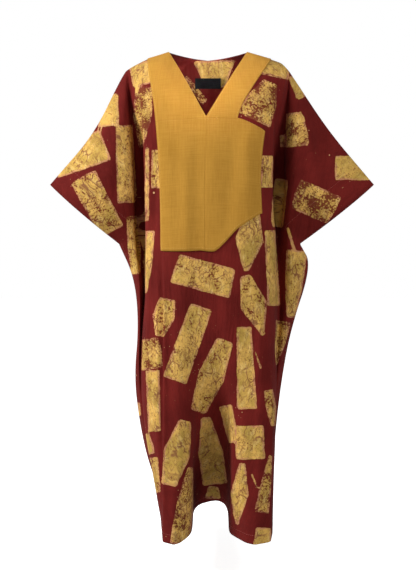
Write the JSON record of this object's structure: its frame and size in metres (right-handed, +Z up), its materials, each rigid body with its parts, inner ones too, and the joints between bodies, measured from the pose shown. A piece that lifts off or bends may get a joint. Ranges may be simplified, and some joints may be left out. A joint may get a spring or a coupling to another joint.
{
  "type": "grand boubou robe",
  "caption": "Wide grand boubou robe in wax resist cloth with grown-on sleeves, V neck and plain chest panel, filled out as worn.",
  "frame": {"origin": "between the two points where the shoulder seams meet the neck, where the wearer's neck and shoulders hold the robe", "axes": "+Z up along the robe, -Y the way the front faces, +X to the viewer's right as seen from the front"},
  "size_m": [0.931, 0.41, 1.3669],
  "materials": {
    "print_cloth": "plain-weave cotton, maroon with ochre wax resist blocks, matt",
    "panel_linen": "slub linen, ochre, matt",
    "label_satin": "woven satin, black, bare"
  },
  "bodies": {
    "root": {"front": "print_cloth", "back": "print_cloth", "chest_panel": "panel_linen", "neck_label": "label_satin"}
  },
  "joints": []
}
